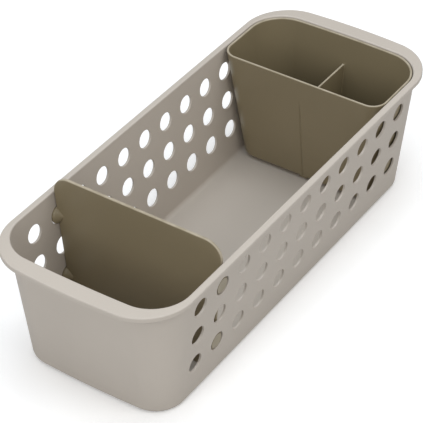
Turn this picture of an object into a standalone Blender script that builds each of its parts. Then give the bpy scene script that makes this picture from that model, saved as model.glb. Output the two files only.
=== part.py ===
"""Bathroom storage basket: a perforated moulded basket, a clip-in divider, a lift-out bin and four feet.

Units are metres and +Z is up. X runs across the basket, Y along it, and the feet stand on z = 0.
The near end, at -Y, holds the divider, and the far end, at +Y, holds the bin.
"""
import math
from collections import namedtuple

import bmesh
import bpy
from mathutils import Matrix, Vector

# Basket, measured over its rim, with ends that bow outwards
RIM_WIDTH = 0.1432
RIM_LENGTH = 0.3566
RIM_CORNER = 0.0330
RIM_BOW = 0.0050
BASKET_HEIGHT = 0.0981

# Basket walls: the rim overhangs their outer faces, which lean inwards from the mouth to the base
SIDE_OVERHANG = 0.00295
END_OVERHANG = 0.0108
SIDE_LEAN = 0.0096
END_LEAN = 0.0098
MOUTH_CORNER = 0.0282
BASE_CORNER = 0.0200
END_BOW = 0.0022
WALL = 0.0018
FLOOR = 0.0023
BASE_EDGE = 0.0030
FLOOR_FILLET = 0.0035

# Cross-section of the rim, which turns down into a lip
RIM_WALL = 0.0018
RIM_FALL = 0.0004
RIM_DEPTH = 0.0042
RIM_ROUND = 0.0010
LIP_WALL = 0.0018
LIP_EDGE = 0.0006
MOUTH_ROUND = 0.0011

# Holes in the long walls
HOLE_DIAMETER = 0.0135
HOLE_PITCH = 0.0250
MIDDLE_ROW_HEIGHT = 0.0538
HOLE_MARGIN = 0.0055
HOLE_OVERRUN = 0.0050
HOLE_SIDES = 18

# Divider
DIVIDER_WALL = 0.0024
DIVIDER_GAP = 0.0004
DIVIDER_RISE = 0.0138
DIVIDER_CORNER = 0.0128
DIVIDER_EDGE = 0.0007
STUD_CLEARANCE = 0.0006
STUD_RECESS = 0.0003
STUD_CHAMFER = 0.0003
BOSS_REACH = 0.0100
BOSS_ROOT_SHARE = 0.8
STUD_SIDES = 24

# Bin
BIN_LENGTH = 0.0689
BIN_WALL = 0.0018
BIN_FLOOR = 0.0020
BIN_DROP = 0.0007
BIN_MOUTH_CLEARANCE = 0.0005
BIN_BASE_CLEARANCE = 0.0018
BIN_FRONT_TAPER = 0.0103
BIN_FRONT_CORNER = 0.0120
BIN_EDGE = 0.0030
BIN_LIP_ROUND = 0.0007
BIN_FILLET = 0.0030
PARTITION_WALL = 0.0016
PARTITION_DROP = 0.0224
PARTITION_EDGE = 0.0004

# Feet
FOOT_DIAMETER = 0.0140
FOOT_STAND = 0.0008
FOOT_SOCKET_DEPTH = 0.0010
FOOT_EDGE = 0.0003
FOOT_INSET = 0.0200
FOOT_SIDES = 24
SEAT_GAP = 0.0003

# Smoothness of the round stretches
CORNER_STEPS = 8
END_STEPS = 4
EDGE_STEPS = 3
ARC_STEPS = 8
BOSS_STEPS = 6
EDGE_ANGLE = math.radians(35)

FLOOR_UNDERSIDE = FOOT_STAND
FLOOR_TOP = FLOOR_UNDERSIDE + FLOOR
RIM_TOP = FLOOR_UNDERSIDE + BASKET_HEIGHT
RIM_BOTTOM = RIM_TOP - RIM_DEPTH

Plan = namedtuple("Plan", "half_x near far near_corner far_corner near_bow far_bow")


def inset(plan, distance):
    """The same plan drawn in by a distance on every side."""
    return Plan(
        plan.half_x - distance,
        plan.near + distance,
        plan.far - distance,
        max(plan.near_corner - distance, SEAT_GAP),
        max(plan.far_corner - distance, SEAT_GAP),
        plan.near_bow,
        plan.far_bow,
    )


def between(low, high, share):
    return low + (high - low) * share


def quarter(steps):
    """Angles that turn from 0 to a right angle."""
    return [math.pi / 2 * step / steps for step in range(steps + 1)]


def ring(plan, z):
    """Points round a rounded rectangle whose ends bow outwards, anticlockwise seen from above."""
    corners = (
        (1, plan.near, 1, plan.near_corner, -math.pi / 2),
        (1, plan.far, -1, plan.far_corner, 0.0),
        (-1, plan.far, -1, plan.far_corner, math.pi / 2),
        (-1, plan.near, 1, plan.near_corner, math.pi),
    )
    flat = []
    for index, (side, end, inward, radius, start) in enumerate(corners):
        centre_x = side * (plan.half_x - radius)
        centre_y = end + inward * radius
        for turn in quarter(CORNER_STEPS):
            angle = start + turn
            flat.append((centre_x + radius * math.cos(angle), centre_y + radius * math.sin(angle)))
        if index % 2:
            reach = plan.half_x - radius
            for step in range(1, END_STEPS):
                flat.append((side * reach * (1 - 2 * step / END_STEPS), end))
    points = []
    middle = (plan.near + plan.far) / 2
    for x, y in flat:
        bend = (x / plan.half_x) ** 2
        shift = plan.near_bow * bend if y < middle else -plan.far_bow * bend
        points.append(Vector((x, y + shift, z)))
    return points


def mesh_object(name, mesh, material=None):
    obj = bpy.data.objects.new(name, mesh)
    bpy.context.scene.collection.objects.link(obj)
    if material:
        mesh.materials.append(material)
    return obj


def finish_mesh(bm, name):
    bmesh.ops.recalc_face_normals(bm, faces=bm.faces)
    mesh = bpy.data.meshes.new(name)
    bm.to_mesh(mesh)
    bm.free()
    mesh.shade_smooth()
    return mesh


def skin(name, rings):
    """A closed surface through a list of rings with equal counts, capped at both ends."""
    bm = bmesh.new()
    loops = [[bm.verts.new(point) for point in points] for points in rings]
    for low, high in zip(loops, loops[1:]):
        for index in range(len(low)):
            after = (index + 1) % len(low)
            bm.faces.new((low[index], low[after], high[after], high[index]))
    bm.faces.new(list(reversed(loops[0])))
    bm.faces.new(loops[-1])
    return finish_mesh(bm, name)


def turned(name, profile, axis, places, sides):
    """Closed turned bodies at several places; the profile gives (distance along the axis, radius)."""
    bm = bmesh.new()
    turn_to_axis = Vector((0, 0, 1)).rotation_difference(Vector(axis)).to_matrix()
    for place in places:
        rings = []
        for along, radius in profile:
            points = []
            for index in range(sides):
                angle = 2 * math.pi * (index + 0.5) / sides
                point = Vector((radius * math.cos(angle), radius * math.sin(angle), along))
                points.append(bm.verts.new(turn_to_axis @ point + Vector(place)))
            rings.append(points)
        for low, high in zip(rings, rings[1:]):
            for index in range(sides):
                after = (index + 1) % sides
                bm.faces.new((low[index], low[after], high[after], high[index]))
        bm.faces.new(list(reversed(rings[0])))
        bm.faces.new(rings[-1])
    return finish_mesh(bm, name)


def prism(name, outline, along, thickness):
    """An outline of points given a thickness, half to each side of its plane."""
    bm = bmesh.new()
    step = Vector(along) * thickness
    face = bm.faces.new([bm.verts.new(point - step / 2) for point in outline])
    extruded = bmesh.ops.extrude_face_region(bm, geom=[face])
    moved = [item for item in extruded["geom"] if isinstance(item, bmesh.types.BMVert)]
    bmesh.ops.translate(bm, vec=step, verts=moved)
    return finish_mesh(bm, name)


def move_origin(obj, place):
    """Put an object's origin at a place and keep its mesh where it is."""
    obj.data.transform(Matrix.Translation(-Vector(place)))
    obj.location = place


def hide_tool(obj):
    obj.hide_render = True
    obj.display_type = "WIRE"
    return obj


def combine(obj, tool, operation):
    modifier = obj.modifiers.new(tool.name, "BOOLEAN")
    modifier.operation = operation
    modifier.solver = "EXACT"
    modifier.object = hide_tool(tool)


def round_edges(obj, width, segments):
    modifier = obj.modifiers.new("rounded edges", "BEVEL")
    modifier.width = width
    modifier.segments = segments
    modifier.limit_method = "ANGLE"
    modifier.angle_limit = EDGE_ANGLE


def settle(obj):
    """Apply an object's modifiers and remove its tools, then shade it crisp at its edges and flat on its walls."""
    bpy.context.view_layer.update()
    depsgraph = bpy.context.evaluated_depsgraph_get()
    obj.data = bpy.data.meshes.new_from_object(obj.evaluated_get(depsgraph))
    tools = [modifier.object for modifier in obj.modifiers if modifier.type == "BOOLEAN"]
    obj.modifiers.clear()
    for tool in tools:
        bpy.data.objects.remove(tool)
    obj.data.set_sharp_from_angle(angle=EDGE_ANGLE)
    modifier = obj.modifiers.new("flat walls", "WEIGHTED_NORMAL")
    modifier.keep_sharp = True
    return obj


def plastic(name, colour, roughness):
    material = bpy.data.materials.new(name)
    material.use_nodes = True
    shader = material.node_tree.nodes["Principled BSDF"]
    shader.inputs["Base Color"].default_value = (*colour, 1.0)
    shader.inputs["Roughness"].default_value = roughness
    shader.inputs["Metallic"].default_value = 0.0
    material.diffuse_color = (*colour, 1.0)
    return material


def shell_plan(z):
    """Plan of the outer faces of the basket's walls at a height."""
    share = (z - FLOOR_UNDERSIDE) / BASKET_HEIGHT
    half_x = RIM_WIDTH / 2 - SIDE_OVERHANG - SIDE_LEAN * (1 - share)
    half_y = RIM_LENGTH / 2 - END_OVERHANG - END_LEAN * (1 - share)
    corner = between(BASE_CORNER, MOUTH_CORNER, share)
    return Plan(half_x, -half_y, half_y, corner, corner, END_BOW, END_BOW)


def inner_plan(z):
    return inset(shell_plan(z), WALL)


def rim_plan():
    half_y = RIM_LENGTH / 2
    return Plan(RIM_WIDTH / 2, -half_y, half_y, RIM_CORNER, RIM_CORNER, RIM_BOW, RIM_BOW)


def basket_rings():
    """Rings from under the floor, up outside, round the rim, and down inside to the floor."""
    rings = []
    for turn in quarter(EDGE_STEPS):
        z = FLOOR_UNDERSIDE + BASE_EDGE * (1 - math.cos(turn))
        rings.append(ring(inset(shell_plan(z), BASE_EDGE * (1 - math.sin(turn))), z))
    under_rim = RIM_TOP - RIM_WALL
    rings.append(ring(shell_plan(under_rim), under_rim))
    rim = rim_plan()
    rings.append(ring(inset(rim, LIP_WALL), under_rim - RIM_FALL))
    rings.append(ring(inset(rim, LIP_WALL), RIM_BOTTOM + LIP_EDGE))
    rings.append(ring(inset(rim, LIP_WALL - LIP_EDGE), RIM_BOTTOM))
    rings.append(ring(inset(rim, LIP_EDGE), RIM_BOTTOM))
    rings.append(ring(rim, RIM_BOTTOM + LIP_EDGE))
    shoulder = RIM_TOP - RIM_FALL - RIM_ROUND
    for turn in quarter(EDGE_STEPS):
        z = shoulder + RIM_ROUND * math.sin(turn)
        rings.append(ring(inset(rim, RIM_ROUND * (1 - math.cos(turn))), z))
    for turn in quarter(EDGE_STEPS):
        z = RIM_TOP - MOUTH_ROUND * (1 - math.cos(turn))
        rings.append(ring(inset(shell_plan(z), WALL - MOUTH_ROUND * (1 - math.sin(turn))), z))
    for turn in quarter(EDGE_STEPS):
        z = FLOOR_TOP + FLOOR_FILLET * (1 - math.sin(turn))
        rings.append(ring(inset(inner_plan(z), FLOOR_FILLET * (1 - math.cos(turn))), z))
    return rings


def hole_rows():
    """Heights of the rows of holes that the long walls have room for."""
    middle = FLOOR_UNDERSIDE + MIDDLE_ROW_HEIGHT
    edge = HOLE_DIAMETER / 2 + HOLE_MARGIN
    rows_above = int((RIM_BOTTOM - edge - middle) / HOLE_PITCH)
    rows_below = int((middle - edge - FLOOR_TOP - FLOOR_FILLET) / HOLE_PITCH)
    return [middle + HOLE_PITCH * row for row in range(-rows_below, rows_above + 1)]


def hole_columns():
    """Places along the basket of the columns of holes between the round corners."""
    base = shell_plan(FLOOR_UNDERSIDE)
    room = base.far - base.far_corner - HOLE_DIAMETER / 2
    each_side = int(room / HOLE_PITCH)
    return [HOLE_PITCH * column for column in range(-each_side, each_side + 1)]


def foot_places():
    base = shell_plan(FLOOR_UNDERSIDE)
    x = base.half_x - FOOT_INSET
    y = base.far - FOOT_INSET
    return {
        "foot_near_left": (-x, -y),
        "foot_near_right": (x, -y),
        "foot_far_left": (-x, y),
        "foot_far_right": (x, y),
    }


def make_basket(material):
    basket = mesh_object("basket", skin("basket", basket_rings()), material)
    reach = RIM_WIDTH / 2 + HOLE_OVERRUN
    places = [(0, y, z) for y in hole_columns() for z in hole_rows()]
    hole = [(-reach, HOLE_DIAMETER / 2), (reach, HOLE_DIAMETER / 2)]
    combine(basket, mesh_object("hole_cutters", turned("hole_cutters", hole, (1, 0, 0), places, HOLE_SIDES)),
            "DIFFERENCE")
    socket_radius = FOOT_DIAMETER / 2 + SEAT_GAP
    socket = [(-FOOT_SOCKET_DEPTH, socket_radius), (FOOT_SOCKET_DEPTH, socket_radius)]
    places = [(x, y, FLOOR_UNDERSIDE) for x, y in foot_places().values()]
    combine(basket, mesh_object("foot_sockets", turned("foot_sockets", socket, (0, 0, 1), places, FOOT_SIDES)),
            "DIFFERENCE")
    return settle(basket)


def divider_half_width(z):
    """Half the divider's width at a height: it follows the walls up to the rim and then stands straight."""
    return inner_plan(min(z, RIM_TOP)).half_x - DIVIDER_GAP


def divider_outline(y):
    """Half outline of the plate from the middle of its foot to the middle of its top, then mirrored."""
    bottom = FLOOR_TOP + SEAT_GAP
    top = RIM_TOP + DIVIDER_RISE
    right = []
    foot_z = bottom + FLOOR_FILLET
    foot_x = divider_half_width(foot_z) - FLOOR_FILLET
    for turn in quarter(EDGE_STEPS):
        right.append((foot_x + FLOOR_FILLET * math.sin(turn), foot_z - FLOOR_FILLET * math.cos(turn)))
    shoulder_z = top - DIVIDER_CORNER
    shoulder_x = divider_half_width(shoulder_z) - DIVIDER_CORNER
    for turn in quarter(ARC_STEPS):
        right.append((shoulder_x + DIVIDER_CORNER * math.cos(turn), shoulder_z + DIVIDER_CORNER * math.sin(turn)))
    left = [(-x, z) for x, z in reversed(right)]
    return [Vector((x, y, z)) for x, z in right + left]


def stud_profile():
    """Turned stud, measured from the middle of the wall: it swells out of the plate and fills the hole."""
    radius = HOLE_DIAMETER / 2 - STUD_CLEARANCE
    thin = DIVIDER_WALL / 2 * BOSS_ROOT_SHARE
    root = -WALL / 2 - DIVIDER_GAP
    end = WALL / 2 - STUD_RECESS
    profile = []
    for step in range(BOSS_STEPS + 1):
        share = step / BOSS_STEPS
        eased = share ** 2 * (3 - 2 * share)
        profile.append((root - BOSS_REACH * (1 - share), between(thin, radius, eased)))
    profile.append((end - STUD_CHAMFER, radius))
    profile.append((end, radius - STUD_CHAMFER))
    return profile


def make_divider(material):
    y = hole_columns()[1]
    rows = hole_rows()
    divider = mesh_object("divider", prism("divider", divider_outline(y), (0, 1, 0), DIVIDER_WALL), material)
    round_edges(divider, DIVIDER_EDGE, 2)
    wall_slope = SIDE_LEAN / BASKET_HEIGHT
    for row_name, z in (("bottom", rows[0]), ("top", rows[-1])):
        middle_of_wall = shell_plan(z).half_x - WALL / 2
        for side_name, side in (("left", -1), ("right", 1)):
            name = f"stud_{row_name}_{side_name}"
            place = (side * middle_of_wall, y, z)
            stud = turned(name, stud_profile(), (side, 0, -wall_slope), [place], STUD_SIDES)
            combine(divider, mesh_object(name, stud), "UNION")
    settle(divider)
    move_origin(divider, (0, y, FLOOR_TOP + SEAT_GAP))
    return divider


BIN_BOTTOM = FLOOR_TOP + SEAT_GAP
BIN_TOP = RIM_TOP - BIN_DROP
PARTITION_TOP = BIN_TOP - PARTITION_DROP


def bin_plan(z):
    """Plan of the bin's outer faces: its back follows the basket's end, its front tapers by itself."""
    share = (z - BIN_BOTTOM) / (BIN_TOP - BIN_BOTTOM)
    back = inset(inner_plan(z), between(BIN_BASE_CLEARANCE, BIN_MOUTH_CLEARANCE, share))
    mouth_back = inner_plan(BIN_TOP).far - BIN_MOUTH_CLEARANCE
    front = mouth_back - BIN_LENGTH + BIN_FRONT_TAPER * (1 - share)
    return Plan(back.half_x, front, back.far, BIN_FRONT_CORNER, back.far_corner, 0.0, back.far_bow)


def bin_inner_plan(z):
    return inset(bin_plan(z), BIN_WALL)


def bin_rings():
    rings = []
    for turn in quarter(EDGE_STEPS):
        z = BIN_BOTTOM + BIN_EDGE * (1 - math.cos(turn))
        rings.append(ring(inset(bin_plan(z), BIN_EDGE * (1 - math.sin(turn))), z))
    for turn in quarter(EDGE_STEPS):
        z = BIN_TOP - BIN_LIP_ROUND * (1 - math.sin(turn))
        rings.append(ring(inset(bin_plan(z), BIN_LIP_ROUND * (1 - math.cos(turn))), z))
    for turn in quarter(EDGE_STEPS):
        z = BIN_TOP - BIN_LIP_ROUND * (1 - math.cos(turn))
        rings.append(ring(inset(bin_plan(z), BIN_WALL - BIN_LIP_ROUND * (1 - math.sin(turn))), z))
    floor = BIN_BOTTOM + BIN_FLOOR
    for turn in quarter(EDGE_STEPS):
        z = floor + BIN_FILLET * (1 - math.sin(turn))
        rings.append(ring(inset(bin_inner_plan(z), BIN_FILLET * (1 - math.cos(turn))), z))
    return rings


def partition_outline():
    """The wall across the bin, rooted halfway into the bin's walls and floor."""
    root = BIN_BOTTOM + BIN_FLOOR / 2
    low = inset(bin_plan(root), BIN_WALL / 2)
    high = inset(bin_plan(PARTITION_TOP), BIN_WALL / 2)
    corners = ((low.near, root), (low.far, root), (high.far, PARTITION_TOP), (high.near, PARTITION_TOP))
    return [Vector((0, y, z)) for y, z in corners]


def make_bin(material):
    body = mesh_object("bin", skin("bin", bin_rings()), material)
    partition = mesh_object("bin_partition", prism("bin_partition", partition_outline(), (1, 0, 0), PARTITION_WALL))
    round_edges(partition, PARTITION_EDGE, 1)
    combine(body, partition, "UNION")
    settle(body)
    move_origin(body, (0, (bin_plan(BIN_TOP).near + bin_plan(BIN_TOP).far) / 2, BIN_BOTTOM))
    return body


def make_feet(material):
    """Soft discs seated in the sockets under the floor, standing proud of it."""
    top = FLOOR_UNDERSIDE + FOOT_SOCKET_DEPTH - SEAT_GAP
    radius = FOOT_DIAMETER / 2
    profile = [(0, radius - FOOT_EDGE), (FOOT_EDGE, radius), (top, radius)]
    mesh = turned("foot", profile, (0, 0, 1), [(0, 0, 0)], FOOT_SIDES)
    mesh.materials.append(material)
    for name, (x, y) in foot_places().items():
        foot = mesh_object(name, mesh)
        foot.location = (x, y, 0)
        settle(foot)


def main():
    for obj in list(bpy.data.objects):
        bpy.data.objects.remove(obj)
    grey = plastic("warm_grey_plastic", (0.52, 0.475, 0.425), 0.55)
    olive = plastic("olive_plastic", (0.234, 0.192, 0.11), 0.5)
    rubber = plastic("soft_foot_rubber", (0.30, 0.28, 0.25), 0.8)
    make_basket(grey)
    make_divider(olive)
    make_bin(olive)
    make_feet(rubber)
    print("rows at", [round(z, 4) for z in hole_rows()], "columns", len(hole_columns()))


main()
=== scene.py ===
# %% [markdown]
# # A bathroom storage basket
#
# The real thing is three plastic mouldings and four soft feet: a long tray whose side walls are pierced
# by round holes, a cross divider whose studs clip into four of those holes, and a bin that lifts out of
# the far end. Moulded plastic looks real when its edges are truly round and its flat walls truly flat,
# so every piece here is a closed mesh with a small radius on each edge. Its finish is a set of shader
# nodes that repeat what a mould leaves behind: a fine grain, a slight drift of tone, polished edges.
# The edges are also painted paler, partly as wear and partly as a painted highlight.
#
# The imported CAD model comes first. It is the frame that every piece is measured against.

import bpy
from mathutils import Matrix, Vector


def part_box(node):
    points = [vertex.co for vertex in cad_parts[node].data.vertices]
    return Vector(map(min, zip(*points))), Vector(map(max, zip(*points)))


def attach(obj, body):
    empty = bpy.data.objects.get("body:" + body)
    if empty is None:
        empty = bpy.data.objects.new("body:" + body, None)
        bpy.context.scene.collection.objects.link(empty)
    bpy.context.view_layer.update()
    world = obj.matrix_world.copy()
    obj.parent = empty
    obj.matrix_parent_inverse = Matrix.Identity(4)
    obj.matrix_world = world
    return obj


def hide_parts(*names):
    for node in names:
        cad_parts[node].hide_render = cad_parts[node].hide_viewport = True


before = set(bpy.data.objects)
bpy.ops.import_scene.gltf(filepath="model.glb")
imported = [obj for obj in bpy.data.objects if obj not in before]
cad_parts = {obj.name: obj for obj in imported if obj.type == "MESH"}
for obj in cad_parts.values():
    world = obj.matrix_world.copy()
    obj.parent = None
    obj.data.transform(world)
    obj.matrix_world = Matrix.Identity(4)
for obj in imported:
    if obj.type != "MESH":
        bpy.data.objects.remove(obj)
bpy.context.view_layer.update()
print("CAD nodes:", sorted(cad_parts))

# %% Modules
import math
from collections import namedtuple

import bmesh
import bpy
from mathutils import Matrix, Vector

scene = bpy.context.scene
MILLIMETRE = 0.001

# %% [markdown]
# ## The camera
#
# The holes form a regular grid, so the picture's perspective can be worked out from them: a long lens,
# about 1.3 m away, a third of the way from the near end round to the long side, looking down.
# An azimuth, an elevation and a roll are easier to read and to change than a matrix, so the camera is
# put at a distance from a point inside the basket, in the direction that those angles give.

# %% Place the camera
CAMERA_LENS = 163.43
CAMERA_SENSOR = 36.0
CAMERA_DISTANCE = 1.3185
CAMERA_AZIMUTH = math.radians(34.288)
CAMERA_ELEVATION = math.radians(38.703)
CAMERA_ROLL = math.radians(-0.590)
VIEW_CENTRE = Vector((0.00104, -0.01577, 0.0546))


def direction_at(azimuth, elevation):
    """Direction from the object to something at an azimuth and an elevation; azimuth 0 is its near end."""
    level = math.cos(elevation)
    return Vector((math.sin(azimuth) * level, -math.cos(azimuth) * level, math.sin(elevation)))


camera = bpy.data.objects.new("camera", bpy.data.cameras.new("camera"))
scene.collection.objects.link(camera)
scene.camera = camera
camera.data.sensor_width = CAMERA_SENSOR
camera.data.lens = CAMERA_LENS
towards_camera = direction_at(CAMERA_AZIMUTH, CAMERA_ELEVATION)
roll = Matrix.Rotation(CAMERA_ROLL, 4, "Z").to_quaternion()
camera.rotation_mode = "QUATERNION"
camera.rotation_quaternion = (-towards_camera).to_track_quat("-Z", "Y") @ roll
camera.location = VIEW_CENTRE + towards_camera * CAMERA_DISTANCE
print("camera at", [round(value, 4) for value in camera.location])


# %% [markdown]
# ## Helpers for node trees
#
# Materials, the world and Geometry Nodes trees are all made of nodes and links, and a script for them
# soon gets long. Four small helpers keep it short. One gives a socket a value or a link, one adds a
# node with its settings and sockets, one adds a Math node, and one makes a node group with named
# inputs and outputs.

# %% Add nodes and groups
def feed(tree, socket, value):
    """Give an input socket a link from another node's output, or a plain value."""
    if isinstance(value, bpy.types.NodeSocket):
        tree.links.new(value, socket)
    else:
        socket.default_value = value


def add_node(tree, kind, sockets=None, **settings):
    """A new node with its settings, and its input sockets by name or number."""
    node = tree.nodes.new(kind)
    for name, value in settings.items():
        setattr(node, name, value)
    for name, value in (sockets or {}).items():
        feed(tree, node.inputs[name], value)
    return node


def maths(tree, operation, first, second):
    return add_node(tree, "ShaderNodeMath", {0: first, 1: second}, operation=operation).outputs[0]


def new_group(name, kind, inputs, outputs):
    """A node group; inputs are (name, socket type, default) and outputs are (name, socket type)."""
    group = bpy.data.node_groups.new(name, kind)
    for socket_name, socket_type, default in inputs:
        socket = group.interface.new_socket(name=socket_name, in_out="INPUT", socket_type=socket_type)
        if default is not None:
            socket.default_value = default
    for socket_name, socket_type in outputs:
        group.interface.new_socket(name=socket_name, in_out="OUTPUT", socket_type=socket_type)
    return group, group.nodes.new("NodeGroupInput").outputs, group.nodes.new("NodeGroupOutput").inputs


# %% [markdown]
# ## What the mould leaves: the grain
#
# The steel of a mould for matte plastic is blasted or etched, and its fine grain is pressed into the
# part. It is far too small to model, so it is a height that a Bump node turns into tilted normals.
# Two sizes of noise are added, because one alone looks like an even sieve.
# Sizes are given in millimetres, and a helper divides to get the noise texture's scale. Most of a noise
# lies between 0.3 and 0.7, so a second helper stretches that part over the range that is wanted.

# %% Noise of a real size
FINE_DETAIL = 2.0
NOISE_LOW = 0.3
NOISE_HIGH = 0.7


def noise_of_size(tree, place, size, detail=FINE_DETAIL):
    """Noise whose spots are about as large as a size in millimetres."""
    scale = maths(tree, "DIVIDE", 1 / MILLIMETRE, size)
    return add_node(tree, "ShaderNodeTexNoise", {
        "Vector": place, "Scale": scale, "Detail": detail}).outputs["Fac"]


def spread_noise(tree, noise, low, high):
    """Stretch a noise, most of which lies between 0.3 and 0.7, over another range."""
    return add_node(tree, "ShaderNodeMapRange", {
        "Value": noise, "From Min": NOISE_LOW, "From Max": NOISE_HIGH,
        "To Min": low, "To Max": high}).outputs["Result"]


# %% Shader group: moulded grain
def make_grain_group():
    group, given, result = new_group(
        "moulded grain", "ShaderNodeTree",
        [("Grain Size", "NodeSocketFloat", 0.4), ("Coarse Size", "NodeSocketFloat", 1.8)],
        [("Height", "NodeSocketFloat")])
    place = add_node(group, "ShaderNodeTexCoord").outputs["Object"]
    heights = [noise_of_size(group, place, given[size]) for size in ("Grain Size", "Coarse Size")]
    both = maths(group, "ADD", heights[0], heights[1])
    feed(group, result["Height"], maths(group, "MULTIPLY", both, 1 / len(heights)))
    return group


grain_group = make_grain_group()
print("made the group", grain_group.name)


# %% [markdown]
# ## What the mould leaves: tone and edges
#
# Plastic flows along the part as it fills the mould, and its tone drifts by a few hundredths on the way.
# So the tone group stretches a large soft noise along the basket and centres it on 1, as a factor.
# An edge catches more light and is rubbed smooth by hands, so it is painted paler: partly as wear and
# partly as a painted highlight. A shader can't tell where the edges are in every renderer, but the mesh
# code can: it writes an attribute that is about 1 where a surface is rounded, and the edge group breaks
# that up with noise so that the pale wear and painted highlight aren't even.

# %% Shader group: drift of tone
CLOUD_STRETCH = (1.0, 0.4, 1.0)
CLOUD_DETAIL = 3.0


def make_tone_group():
    group, given, result = new_group(
        "tone drift", "ShaderNodeTree",
        [("Cloud Size", "NodeSocketFloat", 60.0), ("Swing", "NodeSocketFloat", 0.04)],
        [("Factor", "NodeSocketFloat")])
    place = add_node(group, "ShaderNodeTexCoord").outputs["Object"]
    stretched = add_node(group, "ShaderNodeMapping", {"Vector": place, "Scale": CLOUD_STRETCH})
    cloud = noise_of_size(group, stretched.outputs["Vector"], given["Cloud Size"], CLOUD_DETAIL)
    low = maths(group, "SUBTRACT", 1.0, given["Swing"])
    high = maths(group, "ADD", 1.0, given["Swing"])
    feed(group, result["Factor"], spread_noise(group, cloud, low, high))
    return group


tone_group = make_tone_group()
print("made the group", tone_group.name)

# %% Shader group: pale edges, partly wear and partly a painted highlight
# rounded edges are painted paler: partly wear, partly a painted highlight
EDGE_ATTRIBUTE = "rounded_edge"
LEAST_WEAR_AND_HIGHLIGHT = 0.5


def make_wear_and_highlight_group():
    group, given, result = new_group(
        "rubbed edges with painted highlight", "ShaderNodeTree",
        [("Patch Size", "NodeSocketFloat", 9.0), ("Amount", "NodeSocketFloat", 0.6)],
        [("Mask", "NodeSocketFloat")])
    place = add_node(group, "ShaderNodeTexCoord").outputs["Object"]
    # noise breaks up the pale edges, which are partly wear and partly a painted highlight
    patches = noise_of_size(group, place, given["Patch Size"])
    uneven = spread_noise(group, patches, LEAST_WEAR_AND_HIGHLIGHT, 1.0)
    edge = add_node(group, "ShaderNodeAttribute", attribute_name=EDGE_ATTRIBUTE).outputs["Fac"]
    wear_and_highlight = maths(group, "MULTIPLY", edge, uneven)
    feed(group, result["Mask"], maths(group, "MULTIPLY", wear_and_highlight, given["Amount"]))
    return group


wear_and_highlight_group = make_wear_and_highlight_group()
print("made the group", wear_and_highlight_group.name)


# %% [markdown]
# ## Three materials from one recipe
#
# The basket is a warm light grey plastic. The divider and the bin are a glossier olive brown one, and
# the feet are a dull soft rubber. One recipe serves all three: the tone factor scales the colour, the
# edge mask turns it paler and smoother, the paleness being partly wear and partly a painted highlight,
# and the grain feeds the bump and speckles the roughness.
# What is the same all over, such as the index of refraction, is set on the shader's own socket.

# %% A recipe for moulded material
PLASTIC_IOR = 1.49
SPECKLE = 0.05
BUMP_STRENGTH = 0.7
# a Mix node has sockets for each kind of value; these are the numbers of the colour ones
COLOUR_A, COLOUR_B, COLOUR_RESULT = 6, 7, 2


def effect(tree, group, sockets=None):
    """One of the groups above, placed in a material; each puts out a single value."""
    return add_node(tree, "ShaderNodeGroup", sockets, node_tree=group).outputs[0]


def moulded_material(name, colour, edge_wear_and_highlight_colour, roughness, edge_roughness,
                     grain_size, grain_depth, swing):
    material = bpy.data.materials.new(name)
    material.use_nodes = True
    material.diffuse_color = (*colour, 1.0)
    tree = material.node_tree
    shader = tree.nodes["Principled BSDF"].inputs
    shader["IOR"].default_value = PLASTIC_IOR

    tone = effect(tree, tone_group, {"Swing": swing})
    edge = effect(tree, wear_and_highlight_group)
    grain = effect(tree, grain_group, {"Grain Size": grain_size})

    plain = add_node(tree, "ShaderNodeVectorMath", {0: colour, "Scale": tone}, operation="SCALE")
    # towards the edges the colour turns paler: partly wear, partly a painted highlight
    blend = add_node(tree, "ShaderNodeMix", {
        0: edge, COLOUR_A: plain.outputs["Vector"], COLOUR_B: (*edge_wear_and_highlight_colour, 1.0)}, data_type="RGBA")
    feed(tree, shader["Base Color"], blend.outputs[COLOUR_RESULT])

    polished = add_node(tree, "ShaderNodeMapRange", {
        "Value": edge, "To Min": roughness, "To Max": edge_roughness}).outputs["Result"]
    speckle = spread_noise(tree, grain, -SPECKLE, SPECKLE)
    feed(tree, shader["Roughness"], maths(tree, "ADD", polished, speckle))

    bump = add_node(tree, "ShaderNodeBump", {
        "Height": grain, "Strength": BUMP_STRENGTH, "Distance": grain_depth})
    feed(tree, shader["Normal"], bump.outputs["Normal"])
    return material


# %% Make the materials
# each edge colour is paler than the plastic's own: partly wear, partly a painted highlight
grey_plastic = moulded_material(
    "warm_grey_plastic", colour=(0.525, 0.475, 0.418), edge_wear_and_highlight_colour=(0.550, 0.505, 0.455),
    roughness=0.52, edge_roughness=0.40, grain_size=0.45, grain_depth=0.05 * MILLIMETRE, swing=0.02)
olive_plastic = moulded_material(
    "olive_plastic", colour=(0.234, 0.192, 0.116), edge_wear_and_highlight_colour=(0.530, 0.470, 0.370),
    roughness=0.38, edge_roughness=0.30, grain_size=0.35, grain_depth=0.04 * MILLIMETRE, swing=0.03)
foot_rubber = moulded_material(
    "foot_rubber", colour=(0.30, 0.28, 0.25), edge_wear_and_highlight_colour=(0.34, 0.32, 0.29),
    roughness=0.85, edge_roughness=0.75, grain_size=0.25, grain_depth=0.06 * MILLIMETRE, swing=0.06)
print("materials:", grey_plastic.name, olive_plastic.name, foot_rubber.name)

# %% [markdown]
# ## Plans and rings
#
# The basket and the bin are both trays. Seen from above, each level of a tray is a rounded rectangle
# with slightly bowed ends, and the walls join one level to the next. A plan holds the sizes of a level,
# and a ring is that plan as points at a height. There are many points round the corners and some along
# the bowed ends, but none along the sides, so each long wall is one truly flat face.

# %% A plan and its ring
CORNER_STEPS = 20
EDGE_STEPS = 6
END_STEPS = 12
END_SHARES = [1 - 2 * step / END_STEPS for step in range(1, END_STEPS)]
SMALLEST_CORNER = 0.2 * MILLIMETRE

Plan = namedtuple("Plan", "half_x near far near_corner far_corner near_bow far_bow")


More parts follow.
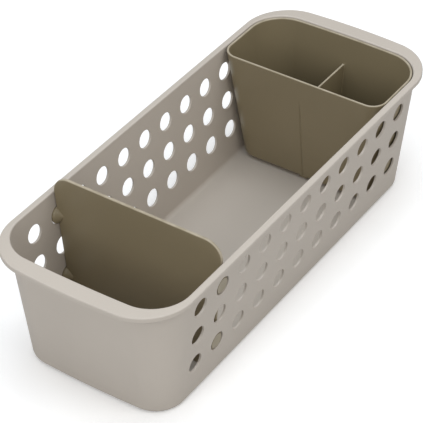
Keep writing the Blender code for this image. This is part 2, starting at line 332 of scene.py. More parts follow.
def inset(plan, distance):
    """The same plan drawn in by a distance on every side."""
    return Plan(plan.half_x - distance, plan.near + distance, plan.far - distance,
                max(plan.near_corner - distance, SMALLEST_CORNER),
                max(plan.far_corner - distance, SMALLEST_CORNER), plan.near_bow, plan.far_bow)


def between(low, high, share):
    return low + (high - low) * share


def quarter(steps=EDGE_STEPS):
    """Angles that turn from 0 to a right angle."""
    return [math.pi / 2 * step / steps for step in range(steps + 1)]


def ring(plan, z, end_shares=END_SHARES):
    """Points round a rounded rectangle whose ends bow outwards, anticlockwise seen from above."""
    corners = (
        (1, plan.near, 1, plan.near_corner, -math.pi / 2),
        (1, plan.far, -1, plan.far_corner, 0.0),
        (-1, plan.far, -1, plan.far_corner, math.pi / 2),
        (-1, plan.near, 1, plan.near_corner, math.pi))
    flat = []
    for index, (side, end, inward, radius, start) in enumerate(corners):
        centre_x = side * (plan.half_x - radius)
        centre_y = end + inward * radius
        for turn in quarter(CORNER_STEPS):
            angle = start + turn
            flat.append((centre_x + radius * math.cos(angle), centre_y + radius * math.sin(angle)))
        # an end follows every second corner
        if index % 2:
            flat += [(centre_x * share, end) for share in end_shares]
    middle = (plan.near + plan.far) / 2
    points = []
    for x, y in flat:
        bend = (x / plan.half_x) ** 2
        shift = plan.near_bow * bend if y < middle else -plan.far_bow * bend
        points.append(Vector((x, y + shift, z)))
    return points


# %% [markdown]
# ## From rings to a closed surface
#
# A skin joins each ring to the next with a band of quads and caps the first and the last.
# That makes a closed body in one go, with control over every edge, where a Bevel modifier on a box
# would have to guess. Each ring also says how rounded the surface is there, from 0 on a flat wall to 1
# in the middle of a rounded edge, or a little more where hands rub it most and a brighter painted
# highlight is wanted. The skin writes that into the attribute that the edges use.

# %% A skin through rings
UPWARDS = (0, 0, 1)


def mesh_from(bm, name):
    """Turn the faces outwards and shade them smooth."""
    bmesh.ops.recalc_face_normals(bm, faces=bm.faces)
    mesh = bpy.data.meshes.new(name)
    bm.to_mesh(mesh)
    bm.free()
    mesh.shade_smooth()
    return mesh


def skin(name, rings):
    """A closed surface through (points, roundness) pairs that have equal counts of points."""
    bm = bmesh.new()
    edge_layer = bm.verts.layers.float.new(EDGE_ATTRIBUTE)
    loops = []
    for points, roundness in rings:
        loop = [bm.verts.new(point) for point in points]
        for vert in loop:
            vert[edge_layer] = roundness
        loops.append(loop)
    for low, high in zip(loops, loops[1:]):
        for index, vert in enumerate(low):
            after = (index + 1) % len(low)
            bm.faces.new((vert, low[after], high[after], high[index]))
    bm.faces.new(list(reversed(loops[0])))
    bm.faces.new(loops[-1])
    return mesh_from(bm, name)


def turned(name, profile, axis, place, sides):
    """A closed body turned on an axis; the profile gives (distance along it, radius, roundness)."""
    onto_axis = Vector(UPWARDS).rotation_difference(Vector(axis)).to_matrix()
    rings = []
    for along, radius, roundness in profile:
        turns = [2 * math.pi * (index + 0.5) / sides for index in range(sides)]
        points = [Vector((radius * math.cos(turn), radius * math.sin(turn), along)) for turn in turns]
        rings.append(([onto_axis @ point + Vector(place) for point in points], roundness))
    return skin(name, rings)


def new_object(name, mesh, material=None):
    obj = bpy.data.objects.new(name, mesh)
    scene.collection.objects.link(obj)
    if material:
        mesh.materials.append(material)
    return obj


# %% [markdown]
# ## Baking modifiers
#
# A Boolean or a Geometry Nodes modifier is handy while a piece is made, but a finished piece should be
# a plain mesh. new_from_object reads the evaluated object back as one. A Boolean keeps its tool's shape
# but not its tool's attribute, so the roundness there can be marked again by place. Last comes a
# Weighted Normal modifier, which turns the shading normals at a small rounding towards the big face
# beside it. Without it, a flat wall shows dark smudges round every hole.

# %% Bake, combine and finish
SHARP_ANGLE = math.radians(35)


def bake(obj):
    """Replace an object's mesh by what its modifiers make of it."""
    bpy.context.view_layer.update()
    depsgraph = bpy.context.evaluated_depsgraph_get()
    obj.data = bpy.data.meshes.new_from_object(
        obj.evaluated_get(depsgraph), preserve_all_data_layers=True, depsgraph=depsgraph)
    obj.modifiers.clear()
    return obj


def combine(obj, tool, operation):
    """Add a tool to an object, or take it away, and remove the tool."""
    modifier = obj.modifiers.new(tool.name, "BOOLEAN")
    modifier.operation = operation
    modifier.solver = "EXACT"
    modifier.object = tool
    bake(obj)
    bpy.data.objects.remove(tool)


def mark_roundness(obj, roundness_at):
    """Write the roundness by place where a Boolean has lost the tool's; None leaves a point as it is."""
    marks = obj.data.attributes[EDGE_ATTRIBUTE].data
    for vert in obj.data.vertices:
        roundness = roundness_at(vert.co)
        if roundness is not None:
            marks[vert.index].value = roundness


def finish_surface(obj):
    """Smooth shading with crisp edges, and normals that keep the flat walls flat."""
    obj.data.shade_smooth()
    obj.data.set_sharp_from_angle(angle=SHARP_ANGLE)
    modifier = obj.modifiers.new("flat walls", "WEIGHTED_NORMAL")
    modifier.keep_sharp = True
    bake(obj)
    print(obj.name, "has", sum(len(face.vertices) - 2 for face in obj.data.polygons), "triangles")


# %% [markdown]
# ## The basket's shell
#
# The tray leans outwards from its base to its mouth, so that it comes out of its mould and so that
# empty ones nest. Its corners grow rounder on the way up, and its two ends bow out a little.
# The rim is a flange, narrow along the sides and broad at the ends, that turns down into a short lip.
# All of this is one list of rings: from under the floor up the outside, round the rim, down the inside.

# %% Sizes of the basket
basket_low, basket_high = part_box("basket")
RIM_WIDTH = basket_high.x - basket_low.x
RIM_LENGTH = basket_high.y - basket_low.y
RIM_TOP = basket_high.z
FLOOR_UNDERSIDE = basket_low.z
BASKET_HEIGHT = RIM_TOP - FLOOR_UNDERSIDE
RIM_CORNER = 0.0330
RIM_BOW = 0.0050
SIDE_OVERHANG = 0.00295
END_OVERHANG = 0.0108
SIDE_LEAN = 0.0096
END_LEAN = 0.0098
MOUTH_CORNER = 0.0282
BASE_CORNER = 0.0200
END_BOW = 0.0022
WALL = 0.0018
FLOOR = 0.0023
BASE_EDGE = 0.0030
FLOOR_FILLET = 0.0035
FLOOR_TOP = FLOOR_UNDERSIDE + FLOOR
print("rim", round(RIM_LENGTH, 4), "by", round(RIM_WIDTH, 4), "at height", round(RIM_TOP, 4))


# %% Levels of the basket's walls
def shell_plan(z):
    """Plan of the outer faces of the basket's walls at a height."""
    share = (z - FLOOR_UNDERSIDE) / BASKET_HEIGHT
    half_x = RIM_WIDTH / 2 - SIDE_OVERHANG - SIDE_LEAN * (1 - share)
    half_y = RIM_LENGTH / 2 - END_OVERHANG - END_LEAN * (1 - share)
    corner = between(BASE_CORNER, MOUTH_CORNER, share)
    return Plan(half_x, -half_y, half_y, corner, corner, END_BOW, END_BOW)


def inner_plan(z):
    return inset(shell_plan(z), WALL)


def rim_plan():
    half_y = RIM_LENGTH / 2
    return Plan(RIM_WIDTH / 2, -half_y, half_y, RIM_CORNER, RIM_CORNER, RIM_BOW, RIM_BOW)


# %% Rings of the rim
RIM_WALL = 0.0018
RIM_FALL = 0.0004
RIM_DEPTH = 0.0042
RIM_ROUND = 0.0010
LIP_WALL = 0.0018
LIP_EDGE = 0.0006
MOUTH_ROUND = 0.0011
RIM_BOTTOM = RIM_TOP - RIM_DEPTH


def rim_rings():
    """From the wall's top out under the flange, down inside the lip, up its face and over to the mouth."""
    rim = rim_plan()
    under_rim = RIM_TOP - RIM_WALL
    lip_inside = inset(rim, LIP_WALL)
    rings = [(ring(shell_plan(under_rim), under_rim), 0.0),
             (ring(lip_inside, under_rim - RIM_FALL), 0.0),
             (ring(lip_inside, RIM_BOTTOM + LIP_EDGE), 0.0),
             (ring(inset(rim, LIP_WALL - LIP_EDGE), RIM_BOTTOM), 0.5)]
    for turn in quarter():
        z = RIM_BOTTOM + LIP_EDGE * (1 - math.cos(turn))
        rings.append((ring(inset(rim, LIP_EDGE * (1 - math.sin(turn))), z), math.sin(2 * turn)))
    for turn in quarter():
        z = RIM_TOP - RIM_FALL - RIM_ROUND * (1 - math.sin(turn))
        rings.append((ring(inset(rim, RIM_ROUND * (1 - math.cos(turn))), z), math.sin(2 * turn)))
    for turn in quarter():
        z = RIM_TOP - MOUTH_ROUND * (1 - math.cos(turn))
        mouth = inset(shell_plan(z), WALL - MOUTH_ROUND * (1 - math.sin(turn)))
        rings.append((ring(mouth, z), math.sin(2 * turn)))
    return rings


# %% Make the shell
def shell_rings():
    rings = []
    for turn in quarter():
        z = FLOOR_UNDERSIDE + BASE_EDGE * (1 - math.cos(turn))
        rings.append((ring(inset(shell_plan(z), BASE_EDGE * (1 - math.sin(turn))), z), 0.0))
    rings += rim_rings()
    for turn in quarter():
        z = FLOOR_TOP + FLOOR_FILLET * (1 - math.sin(turn))
        rings.append((ring(inset(inner_plan(z), FLOOR_FILLET * (1 - math.cos(turn))), z), 0.0))
    return rings


basket = new_object("basket_moulding", skin("basket_moulding", shell_rings()), grey_plastic)
print("shell of", len(shell_rings()), "rings,", len(basket.data.vertices), "points")

# %% [markdown]
# ## A cutter for the holes
#
# A hole through moulded plastic isn't a knife-sharp circle: both its edges have a small radius.
# So the cutter is a turned body that is as wide as the hole in the middle of the wall and flares out
# where it leaves the wall's two faces. The flare reaches just past each face, so that the Boolean meets
# the wall at a clear angle and not in a line where both surfaces only touch.

# %% The flared cutter
HOLE_DIAMETER = 0.0135
HOLE_EDGE = 0.00045
HOLE_SIDES = 48
FLARE_STEPS = 4
FLARE_PAST_WALL = 0.00002
CUTTER_REACH = 0.0030
WALL_SLOPE = SIDE_LEAN / BASKET_HEIGHT
WALL_TILT = math.atan(WALL_SLOPE)


def cutter_profile():
    """From one end to the other along the hole's axis, with the wall's middle at 0."""
    half_wall = WALL * math.cos(WALL_TILT) / 2 + FLARE_PAST_WALL
    half = []
    for turn in quarter(FLARE_STEPS):
        along = half_wall - HOLE_EDGE * (1 - math.cos(turn))
        half.append((along, HOLE_DIAMETER / 2 + HOLE_EDGE * (1 - math.sin(turn)), math.sin(2 * turn)))
    half.insert(0, (CUTTER_REACH, HOLE_DIAMETER / 2 + HOLE_EDGE, 0.0))
    return [(-along, radius, roundness) for along, radius, roundness in half] + half[::-1]


cutter_mesh = turned("hole_cutter", cutter_profile(), UPWARDS, (0, 0, 0), HOLE_SIDES)
hole_cutter = new_object("hole_cutter", cutter_mesh)
print("cutter with", len(cutter_profile()), "rings")

# %% [markdown]
# ## Perforate both long walls
#
# The holes are a regular grid on a leaning plane, which is what Geometry Nodes are made for.
# A Mesh Grid gives one point for each hole. Its points are moved onto the wall, the cutter is put on
# each of them, and a copy turned half a circle serves the other wall. One Mesh Boolean then takes
# all 66 out of the shell. The pitch and the counts are inputs, so other patterns need no new nodes.

# %% Sizes of the grid of holes
HOLE_PITCH = 0.0250
HOLE_COLUMNS = 11
HOLE_ROWS = 3
MIDDLE_ROW_HEIGHT = 0.0538
MIDDLE_ROW = FLOOR_UNDERSIDE + MIDDLE_ROW_HEIGHT


def wall_middle(z):
    """From the basket's middle to the middle of a long wall's thickness at a height."""
    return shell_plan(z).half_x - WALL / 2


print("middle row of holes at height", round(MIDDLE_ROW, 4))


# %% Geometry Nodes: perforated walls
def make_perforation_tree():
    tree, given, result = new_group(
        "perforated walls", "GeometryNodeTree",
        [("Shell", "NodeSocketGeometry", None), ("Cutter", "NodeSocketObject", None),
         ("Columns", "NodeSocketInt", HOLE_COLUMNS), ("Rows", "NodeSocketInt", HOLE_ROWS),
         ("Pitch", "NodeSocketFloat", HOLE_PITCH), ("Middle Row", "NodeSocketFloat", MIDDLE_ROW),
         ("Wall Distance", "NodeSocketFloat", wall_middle(MIDDLE_ROW)),
         ("Wall Slope", "NodeSocketFloat", WALL_SLOPE), ("Material", "NodeSocketMaterial", None)],
        [("Perforated", "NodeSocketGeometry")])

    columns_long = maths(tree, "MULTIPLY", maths(tree, "SUBTRACT", given["Columns"], 1.0), given["Pitch"])
    rows_high = maths(tree, "MULTIPLY", maths(tree, "SUBTRACT", given["Rows"], 1.0), given["Pitch"])
    grid = add_node(tree, "GeometryNodeMeshGrid", {
        "Size X": columns_long, "Size Y": rows_high,
        "Vertices X": given["Columns"], "Vertices Y": given["Rows"]}).outputs["Mesh"]

    place = add_node(tree, "GeometryNodeInputPosition").outputs["Position"]
    along, up, _ = add_node(tree, "ShaderNodeSeparateXYZ", {0: place}).outputs
    out = maths(tree, "ADD", given["Wall Distance"], maths(tree, "MULTIPLY", up, given["Wall Slope"]))
    height = maths(tree, "ADD", given["Middle Row"], up)
    on_wall = add_node(tree, "ShaderNodeCombineXYZ", {"X": out, "Y": along, "Z": height}).outputs[0]
    points = add_node(tree, "GeometryNodeSetPosition", {"Geometry": grid, "Position": on_wall}).outputs[0]

    tilt = maths(tree, "ADD", maths(tree, "ARCTANGENT", given["Wall Slope"], 0.0), math.pi / 2)
    turn = add_node(tree, "ShaderNodeCombineXYZ", {"Y": tilt}).outputs[0]
    cutter = add_node(tree, "GeometryNodeObjectInfo", {"Object": given["Cutter"]}).outputs["Geometry"]
    one_wall = add_node(tree, "GeometryNodeInstanceOnPoints", {
        "Points": points, "Instance": cutter, "Rotation": turn}).outputs["Instances"]
    other_wall = add_node(tree, "GeometryNodeTransform", {
        "Geometry": one_wall, "Rotation": (0.0, 0.0, math.pi)}).outputs["Geometry"]
    both = add_node(tree, "GeometryNodeJoinGeometry", {"Geometry": other_wall})
    tree.links.new(one_wall, both.inputs["Geometry"])
    cutters = add_node(tree, "GeometryNodeRealizeInstances", {"Geometry": both.outputs[0]}).outputs[0]

    cut = add_node(tree, "GeometryNodeMeshBoolean", {"Mesh 1": given["Shell"], "Mesh 2": cutters},
                   operation="DIFFERENCE", solver="EXACT").outputs["Mesh"]
    real = add_node(tree, "GeometryNodeRealizeInstances", {"Geometry": cut}).outputs[0]
    painted = add_node(tree, "GeometryNodeSetMaterial", {"Geometry": real, "Material": given["Material"]})
    feed(tree, result["Perforated"], painted.outputs[0])
    return tree


perforation_tree = make_perforation_tree()
print("tree with", len(perforation_tree.nodes), "nodes")


# %% Cut the holes
def add_tree(obj, tree, **inputs):
    """Put a Geometry Nodes modifier on an object and set its named inputs."""
    modifier = obj.modifiers.new(tree.name, "NODES")
    modifier.node_group = tree
    identifiers = {item.name: item.identifier
                   for item in tree.interface.items_tree if item.in_out == "INPUT"}
    for name, value in inputs.items():
        modifier[identifiers[name.replace("_", " ")]] = value


add_tree(basket, perforation_tree, Cutter=hole_cutter, Columns=HOLE_COLUMNS, Rows=HOLE_ROWS,
         Pitch=HOLE_PITCH, Middle_Row=MIDDLE_ROW, Wall_Slope=WALL_SLOPE, Material=grey_plastic,
         Wall_Distance=wall_middle(MIDDLE_ROW))
bake(basket)
bpy.data.objects.remove(hole_cutter)
print("perforated basket:", len(basket.data.polygons), "faces")

# %% [markdown]
# ## Sockets for the feet
#
# Four soft pads are pressed into shallow round sockets under the floor, so that the basket doesn't
# slide or scratch. The sockets are plain discs taken out of the floor's underside with a Boolean.

# %% Take the sockets out of the floor
FOOT_DIAMETER = 0.0140
FOOT_SOCKET_DEPTH = 0.0010
FOOT_NODES = ("foot_near_left", "foot_near_right", "foot_far_left", "foot_far_right")
SEAT_GAP = 0.0003
FOOT_SIDES = 48


def middle_of(node):
    low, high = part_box(node)
    return (low + high) / 2


socket_radius = FOOT_DIAMETER / 2 + SEAT_GAP
for node in FOOT_NODES:
    centre = middle_of(node)
    profile = [(-FOOT_SOCKET_DEPTH, socket_radius, 0.0), (FOOT_SOCKET_DEPTH, socket_radius, 0.0)]
    socket = turned("socket", profile, UPWARDS, (centre.x, centre.y, FLOOR_UNDERSIDE), FOOT_SIDES)
    combine(basket, new_object("socket", socket), "DIFFERENCE")
finish_surface(basket)

# %% [markdown]
# ## The divider's plate
#
# The divider is a flat plate that follows the leaning walls and stands above the rim with two big
# round shoulders. Its outline is drawn once, from the foot up to the shoulder, and mirrored.
# Rings of that outline across the plate's thickness, drawn in near both faces, give it rounded edges.
# The whole narrow edge is painted pale, partly as wear from hands and partly as a painted highlight, so
# its roundness grows to a little over 1 and stays there.

# %% Make the plate
DIVIDER_WALL = 0.0024
DIVIDER_GAP = 0.0004
DIVIDER_CORNER = 0.0128
DIVIDER_EDGE = 0.0007
# the plate's edge is painted pale: partly wear, partly a painted highlight
DIVIDER_WEAR_AND_HIGHLIGHT = 1.2
ARC_STEPS = 24
divider_y = middle_of("divider").y
divider_low, divider_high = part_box("divider")


def divider_half_width(z):
    """Half the plate's width at a height: it follows the walls up to the rim and then stands straight."""
    return inner_plan(min(z, RIM_TOP)).half_x - DIVIDER_GAP


def divider_outline(y, drawn_in):
    """Outline of the plate at a place along the basket, drawn in by a distance all round."""
    foot_z = divider_low.z + FLOOR_FILLET
    foot_x = divider_half_width(foot_z) - FLOOR_FILLET
    shoulder_z = divider_high.z - DIVIDER_CORNER
    shoulder_x = divider_half_width(shoulder_z) - DIVIDER_CORNER
    right = []
    radius = FLOOR_FILLET - drawn_in
    for turn in quarter():
        right.append((foot_x + radius * math.sin(turn), foot_z - radius * math.cos(turn)))
    radius = DIVIDER_CORNER - drawn_in
    for turn in quarter(ARC_STEPS):
        right.append((shoulder_x + radius * math.cos(turn), shoulder_z + radius * math.sin(turn)))
    left = [(-x, z) for x, z in reversed(right)]
    return [Vector((x, y, z)) for x, z in right + left]


def plate_rings():
    rings = []
    for side, turns in ((-1, quarter()), (1, quarter()[::-1])):
        for turn in turns:
            y = divider_y + side * (DIVIDER_WALL / 2 - DIVIDER_EDGE * (1 - math.cos(turn)))
            outline = divider_outline(y, DIVIDER_EDGE * (1 - math.sin(turn)))
            rings.append((outline, DIVIDER_WEAR_AND_HIGHLIGHT * math.sin(turn)))
    return rings


divider = new_object("divider_plate", skin("divider_plate", plate_rings()), olive_plastic)
print("plate from", len(plate_rings()), "rings")

# %% [markdown]
# ## The divider's studs
#
# A stud at each end of the top and bottom rows clips into a hole of the wall. Inside the basket it
# swells smoothly out of the plate as a boss, whose shoulder nearly fills the hole. Past the shoulder it
# is narrower, which leaves a groove round it that shows as a dark ring. Its end is almost flush with the
# wall's outer face, so its axis is square to the leaning wall. It is turned on that axis from a short
# profile and united with the plate.
# The end face is painted paler than the rest of the stud. A Boolean smears the plate's roundness over the
# studs, so it is marked again by place: the paler value on the end face, 0 on the boss.

# %% Add the studs
SHOULDER_CLEARANCE = 0.0003
SHOULDER_ENTRY = 0.0006
STUD_CLEARANCE = 0.0012
STUD_RECESS = 0.0003
STUD_ROUND = 0.0002
# a stud's end face is painted paler than the rest of it
STUD_END_PALENESS = 0.6
BOSS_REACH = 0.0060
BOSS_ROOT_SHARE = 0.8
BOSS_STEPS = 20
STUD_SIDES = 64


def stud_profile():
    """From the boss's thin end in the plate out through the hole, measured from the wall's middle."""
    radius = HOLE_DIAMETER / 2 - STUD_CLEARANCE
    shoulder = HOLE_DIAMETER / 2 - SHOULDER_CLEARANCE
    thin = DIVIDER_WALL / 2 * BOSS_ROOT_SHARE
    root = -WALL / 2 - DIVIDER_GAP
    step_down = -WALL / 2 + SHOULDER_ENTRY
    end = WALL / 2 - STUD_RECESS
    profile = []
    for step in range(BOSS_STEPS + 1):
        share = step / BOSS_STEPS
        # level at both ends and steepest in the middle
        eased = share ** 2 * (3 - 2 * share)
        profile.append((root - BOSS_REACH * (1 - share), between(thin, shoulder, eased), 0.0))
    profile += [(step_down, shoulder, 0.0), (step_down, radius, 0.0)]
    for turn in quarter():
        along = end - STUD_ROUND * (1 - math.sin(turn))
        profile.append((along, radius - STUD_ROUND * (1 - math.cos(turn)), 0.0))
    return profile


def stud_roundness(point):
    """A paler end face on a stud and none on the rest of it; the plate keeps its own."""
    past_plate = abs(point.x) - divider_half_width(point.z)
    if past_plate > DIVIDER_GAP + WALL - STUD_RECESS - STUD_ROUND / 2:
        return STUD_END_PALENESS
    if past_plate > DIVIDER_GAP / 2 or abs(point.y - divider_y) > DIVIDER_WALL / 2 + FLARE_PAST_WALL:
        return 0.0
    return None


def outer_holes(y):
    """Middle and axis of the top and bottom rows' holes in both walls, at a place along the basket."""
    found = []
    for row in (-1, 1):
        z = MIDDLE_ROW + row * HOLE_PITCH
        for side in (-1, 1):
            found.append(((side * wall_middle(z), y, z), (side, 0, -WALL_SLOPE)))
    return found


for place, axis in outer_holes(divider_y):
    stud = turned("stud", stud_profile(), axis, place, STUD_SIDES)
    combine(divider, new_object("stud", stud), "UNION")
mark_roundness(divider, stud_roundness)
finish_surface(divider)

# %% [markdown]
# ## The bin
#
# The bin fills the far end. Its back and sides follow the basket's walls with a gap that narrows
# upwards, and its front tapers by itself, so it can be lifted straight out. Its lip is a plain rounded
# edge. Where the inner cross wall meets the front, the cooling plastic has drawn the face in by half a
# millimetre or so. Most mouldings have such sink lines, and the rings make it with points near x = 0.
# The bin stands on a low plinth, drawn in from its rounded base, which leaves a dark gap at the floor.

# %% Sizes and levels of the bin
bin_low, bin_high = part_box("bin")
BIN_BOTTOM = bin_low.z
BIN_TOP = bin_high.z
BIN_LENGTH = 0.0689
BIN_WALL = 0.0018
BIN_FLOOR = 0.0020
BIN_MOUTH_CLEARANCE = 0.0005
BIN_BASE_CLEARANCE = 0.0018
BIN_FRONT_TAPER = 0.0103
BIN_FRONT_CORNER = 0.0120
BIN_EDGE = 0.0040
PLINTH_HEIGHT = 0.0008
PLINTH_INSET = 0.0005
BIN_LIP_ROUND = 0.0009
BIN_FILLET = 0.0030
PARTITION_WALL = 0.0016
PARTITION_DROP = 0.0224
PARTITION_TOP = BIN_TOP - PARTITION_DROP
# the lip and the cross wall's top edge are painted pale: partly wear, partly a painted highlight
LIP_WEAR_AND_HIGHLIGHT = 1.4
SINK_DEPTH = 0.0006
SINK_HALF_WIDTH = 0.0005
SINK_REACH = 3 * SINK_HALF_WIDTH
SINK_FADE = 0.0030
SINK_AT_WALL_TOP = 0.4


def bin_plan(z):
    """Plan of the bin's outer faces: its back follows the basket's end, its front tapers by itself."""
    share = (z - BIN_BOTTOM) / (BIN_TOP - BIN_BOTTOM)
    back = inset(inner_plan(z), between(BIN_BASE_CLEARANCE, BIN_MOUTH_CLEARANCE, share))
    mouth_back = inner_plan(BIN_TOP).far - BIN_MOUTH_CLEARANCE
    front = mouth_back - BIN_LENGTH + BIN_FRONT_TAPER * (1 - share)
    return Plan(back.half_x, front, back.far, BIN_FRONT_CORNER, back.far_corner, 0.0, back.far_bow)


def bin_inner_plan(z):
    return inset(bin_plan(z), BIN_WALL)


# %% Make the bin's shell
SINK_SHARES = [0.03, 0.018, 0.010, 0.005, 0.0, -0.005, -0.010, -0.018, -0.03]
SINK_ROOM = 0.1
BIN_SHARES = [share for share in END_SHARES if share > SINK_ROOM] + SINK_SHARES + [
    share for share in END_SHARES if share < -SINK_ROOM]


def bin_ring(plan, z, sink=0.0):
    """A ring of the bin whose front is drawn in along the middle by a share of the sink's depth."""
    points = ring(plan, z, BIN_SHARES)
    for point in points:
        if point.y < (plan.near + plan.far) / 2 and abs(point.x) < SINK_REACH:
            point.y += sink * SINK_DEPTH * math.exp(-(point.x / SINK_HALF_WIDTH) ** 2)
    return points


def bin_rings():
    plinth = inset(bin_plan(BIN_BOTTOM), BIN_EDGE + PLINTH_INSET)
    base = BIN_BOTTOM + PLINTH_HEIGHT
    rings = [(bin_ring(plinth, BIN_BOTTOM), 0.0), (bin_ring(plinth, base), 0.0)]
    for turn in quarter():
        z = base + BIN_EDGE * (1 - math.cos(turn))
        rounded = inset(bin_plan(z), BIN_EDGE * (1 - math.sin(turn)))
        rings.append((bin_ring(rounded, z, math.sin(turn)), 0.0))
    for step, sink in ((-SINK_FADE, 1.0), (0.0, SINK_AT_WALL_TOP), (SINK_FADE, 0.0)):
        z = PARTITION_TOP + step
        rings.append((bin_ring(bin_plan(z), z, sink), 0.0))
    for turn in quarter():
        z = BIN_TOP - BIN_LIP_ROUND * (1 - math.sin(turn))
        lip = inset(bin_plan(z), BIN_LIP_ROUND * (1 - math.cos(turn)))
        rings.append((bin_ring(lip, z), LIP_WEAR_AND_HIGHLIGHT * math.sin(turn)))
    for turn in quarter()[1:]:
        z = BIN_TOP - BIN_LIP_ROUND * (1 - math.cos(turn))
        lip = inset(bin_plan(z), BIN_WALL - BIN_LIP_ROUND * (1 - math.sin(turn)))
        rings.append((bin_ring(lip, z), LIP_WEAR_AND_HIGHLIGHT * math.cos(turn)))
    floor = BIN_BOTTOM + BIN_FLOOR
    for turn in quarter():
        z = floor + BIN_FILLET * (1 - math.sin(turn))
        rings.append((bin_ring(inset(bin_inner_plan(z), BIN_FILLET * (1 - math.cos(turn))), z), 0.0))
    return rings


bin_piece = new_object("bin_moulding", skin("bin_moulding", bin_rings()), olive_plastic)
print("bin of", len(bin_rings()), "rings")

# %% [markdown]
# ## The cross wall in the bin
#
# A lower wall across the bin makes two cells of it. Where two walls of a moulding meet there is a
# fillet, so the wall's level plan is the shape of an I: it widens into the bin's front and back, and
# near the floor it widens along its whole length. Its top edge is rounded.
# It is skinned from its root in the floor to its top and united with the bin.

# %% Make the cross wall
PARTITION_ROUND = 0.0006
PARTITION_FILLET = 0.0012


def partition_ring(z, widened, drawn_in):
    """Level outline of the cross wall, widened by its fillet with the floor or drawn in near its top."""
    half = PARTITION_WALL / 2 + widened - drawn_in
    inside = bin_inner_plan(z)
    near = inside.near - FLARE_PAST_WALL
    far = inside.far + FLARE_PAST_WALL
    fillet = [(PARTITION_FILLET * (1 - math.sin(turn)), PARTITION_FILLET * (1 - math.cos(turn)))
              for turn in quarter()]
    right = [(half + PARTITION_FILLET, near - BIN_WALL / 2)]
    right += [(half + across, near + along) for across, along in fillet]
    right += [(half + across, far - along) for across, along in fillet[::-1]]
    right.append((half + PARTITION_FILLET, far + BIN_WALL / 2))
    left = [(-x, y) for x, y in reversed(right)]
    return [Vector((x, y, z)) for x, y in right + left]


def partition_rings():
    floor = BIN_BOTTOM + BIN_FLOOR
    rings = [(partition_ring(floor - BIN_FLOOR / 2, PARTITION_FILLET, 0.0), 0.0)]
    for turn in quarter():
        z = floor - FLARE_PAST_WALL + PARTITION_FILLET * (1 - math.cos(turn))
        rings.append((partition_ring(z, PARTITION_FILLET * (1 - math.sin(turn)), 0.0), 0.0))
    for turn in quarter():
        z = PARTITION_TOP - PARTITION_ROUND * (1 - math.sin(turn))
        rings.append((partition_ring(z, 0.0, PARTITION_ROUND * (1 - math.cos(turn))), math.sin(turn)))
    return rings


def cross_wall_roundness(point):
    """The top edge of the cross wall, painted pale as partly wear and partly a painted highlight;
    everything else keeps its own.
    """
    inside = inset(bin_inner_plan(point.z), FLARE_PAST_WALL)
    below_top = PARTITION_TOP - point.z
    is_wall = abs(point.x) < PARTITION_WALL / 2 + FLARE_PAST_WALL and inside.near < point.y < inside.far
    if is_wall and -FLARE_PAST_WALL < below_top < PARTITION_ROUND:
        return LIP_WEAR_AND_HIGHLIGHT * (1 - below_top / PARTITION_ROUND)
    return None


combine(bin_piece, new_object("partition", skin("partition", partition_rings())), "UNION")
print("cross wall up to", round(PARTITION_TOP, 4))

# %% [markdown]
# ## Pips on the bin's sides
#
# Behind the top and bottom holes of the last column, the bin shows a round face. Low pips on its two
# sides stand there, square to the wall, and keep the bin from rattling. They stop a little short of the
# wall, so the bin still lifts straight out. Like the studs they are turned bodies. After the last
# Boolean, the cross wall's top edge gets its roundness back.

# %% Add the pips
PIP_DIAMETER = 0.0122
PIP_GAP = 0.00025
PIP_ROUND = 0.0002
LAST_COLUMN = (HOLE_COLUMNS - 1) / 2 * HOLE_PITCH


def pip_profile(z):
    """From inside the bin's wall out to just short of the basket's wall, whose middle is at 0."""
    clearance = inner_plan(z).half_x - bin_plan(z).half_x
    end = -WALL / 2 - PIP_GAP
    profile = [(-WALL / 2 - clearance - BIN_WALL / 2, PIP_DIAMETER / 2, 0.0)]
    for turn in quarter():
        along = end - PIP_ROUND * (1 - math.sin(turn))
        profile.append((along, PIP_DIAMETER / 2 - PIP_ROUND * (1 - math.cos(turn)), 0.0))
    return profile


for place, axis in outer_holes(LAST_COLUMN):
    pip = turned("pip", pip_profile(place[2]), axis, place, STUD_SIDES)
    combine(bin_piece, new_object("pip", pip), "UNION")
mark_roundness(bin_piece, cross_wall_roundness)
finish_surface(bin_piece)

# %% [markdown]
# ## The feet
#
# Each foot is a disc of soft rubber, seated in its socket and standing less than a millimetre proud.
# Its lower edge is rounded and its middle is dished a little, as such pads are, so it grips at its edge.

# %% Make the feet
FOOT_ROUND = 0.0005
FOOT_DISH = 0.0002
FOOT_DISH_SHARE = 0.7


def foot_profile():
    radius = FOOT_DIAMETER / 2
    dish_radius = radius * FOOT_DISH_SHARE
    profile = [(FOOT_DISH, dish_radius / 2, 0.0), (FOOT_DISH, dish_radius, 0.0)]
    for turn in quarter():
        edge_radius = radius - FOOT_ROUND * (1 - math.sin(turn))
        profile.append((FOOT_ROUND * (1 - math.cos(turn)), edge_radius, math.sin(turn)))
    profile.append((FLOOR_UNDERSIDE + FOOT_SOCKET_DEPTH - SEAT_GAP, radius, 0.0))
    return profile


feet = {}
for node in FOOT_NODES:
    centre = middle_of(node)
    mesh = turned(node + "_pad", foot_profile(), UPWARDS, (centre.x, centre.y, 0), FOOT_SIDES)
    feet[node] = new_object(node + "_pad", mesh, foot_rubber)
    finish_surface(feet[node])

# %% [markdown]
# ## What each piece stands for
#
# Every piece rides on a body of the CAD model, so that the bin can be lifted out in a pose, and it
# takes the place of the plainer CAD node that it was made from.

# %% Tie the pieces to the model
pieces = [
    (basket, "basket", "basket", "basket_plastic"),
    (divider, "divider", "basket", "insert_plastic"),
    (bin_piece, "bin", "bin", "insert_plastic")]
pieces += [(foot, node, "basket", "foot_rubber") for node, foot in feet.items()]
for piece, node, body, slot in pieces:
    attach(piece, body)
    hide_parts(node)
print("pieces:", len(pieces))

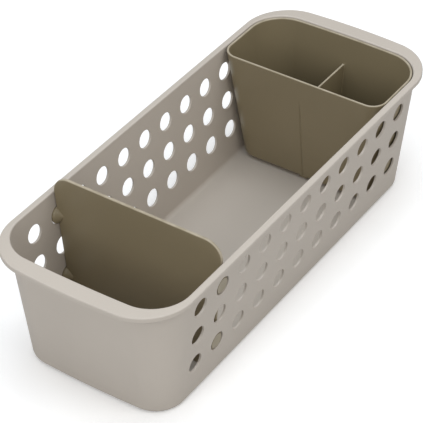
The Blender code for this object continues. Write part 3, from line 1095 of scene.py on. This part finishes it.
# %% [markdown]
# ## The floor
#
# The picture has a white ground with a soft shadow. To the light the floor is a matte pale grey plane,
# so it throws a little light back up at the walls. To the camera it is white and glows a little, just
# enough that the open floor is white, while near the basket the missing light still shows as shadow.

# %% Make the floor
FLOOR_SIZE = 8.0
FLOOR_COLOUR = (0.65, 0.65, 0.65, 1.0)
FLOOR_GLOW = 0.14
WHITE = (1.0, 1.0, 1.0, 1.0)


def split_for_camera(tree, output, lit, seen):
    """Finish a tree with one shader for the light and another one for the camera."""
    is_camera = add_node(tree, "ShaderNodeLightPath").outputs["Is Camera Ray"]
    surface = add_node(tree, "ShaderNodeMixShader", {0: is_camera, 1: lit, 2: seen}).outputs[0]
    add_node(tree, output, {"Surface": surface})


floor_mesh = bpy.data.meshes.new("studio_floor")
corner = FLOOR_SIZE / 2
corners = [(-corner, -corner, 0), (corner, -corner, 0), (corner, corner, 0), (-corner, corner, 0)]
floor_mesh.from_pydata(corners, [], [(0, 1, 2, 3)])
floor_material = bpy.data.materials.new("studio_floor")
floor_material.use_nodes = True
tree = floor_material.node_tree
tree.nodes.clear()
lit = add_node(tree, "ShaderNodeBsdfDiffuse", {"Color": FLOOR_COLOUR}).outputs[0]
white = add_node(tree, "ShaderNodeBsdfDiffuse", {"Color": WHITE}).outputs[0]
glow = add_node(tree, "ShaderNodeEmission", {"Strength": FLOOR_GLOW}).outputs[0]
seen = add_node(tree, "ShaderNodeAddShader", {0: white, 1: glow}).outputs[0]
split_for_camera(tree, "ShaderNodeOutputMaterial", lit, seen)
studio_floor = new_object("studio_floor", floor_mesh, floor_material)
print("floor of", FLOOR_SIZE, "m")

# %% [markdown]
# ## The light
#
# A product is usually shot in a tent of white cloth with soft boxes round it. The world stands for the
# tent: an even fill that is white to the camera. Five soft boxes then model the shape, each a disk of
# light that faces the basket. The one overhead makes the rim the brightest part. The one behind lights
# the inside of the near end and lays the soft shadow in front. The one to the right lights the long
# pierced wall, the one in front lights the near end and the faces of the divider and the bin, and a weak
# one to the left opens the shadow there. The top light is a little cool and the right one a little warm,
# as mixed daylight and lamplight are, so that the rim and the wall under it differ in tone.

# %% The tent
TENT_STRENGTH = 0.50

world = bpy.data.worlds.new("studio")
scene.world = world
world.use_nodes = True
tree = world.node_tree
tree.nodes.clear()
soft = add_node(tree, "ShaderNodeBackground", {"Strength": TENT_STRENGTH}).outputs[0]
white = add_node(tree, "ShaderNodeBackground", {"Color": WHITE, "Strength": 1.0}).outputs[0]
split_for_camera(tree, "ShaderNodeOutputWorld", soft, white)
print("tent of strength", TENT_STRENGTH)

# %% The soft boxes
BOX_DISTANCE = 1.5
COOL = (0.90, 1.00, 1.10)
WARM = (1.03, 1.00, 0.96)
NEUTRAL = (1.0, 1.0, 1.0)
SOFT_BOXES = (
    ("overhead", 0, 88, 1.2, 6.0, COOL),
    ("behind", 180, 70, 1.2, 3.8, NEUTRAL),
    ("right", 90, 42, 1.0, 5.1, WARM),
    ("front", 5, 32, 0.8, 6.0, NEUTRAL),
    ("left", -90, 45, 1.0, 1.8, NEUTRAL))

for name, azimuth, elevation, size, power, colour in SOFT_BOXES:
    lamp = bpy.data.objects.new("soft_box_" + name, bpy.data.lights.new("soft_box_" + name, "AREA"))
    scene.collection.objects.link(lamp)
    lamp.data.shape = "DISK"
    lamp.data.size = size
    lamp.data.energy = power
    lamp.data.color = colour
    towards_lamp = direction_at(math.radians(azimuth), math.radians(elevation))
    lamp.rotation_mode = "QUATERNION"
    lamp.rotation_quaternion = (-towards_lamp).to_track_quat("-Z", "Y")
    lamp.location = towards_lamp * BOX_DISTANCE
    print("soft box", name, "of", power, "W")
scene.view_settings.view_transform = "Standard"
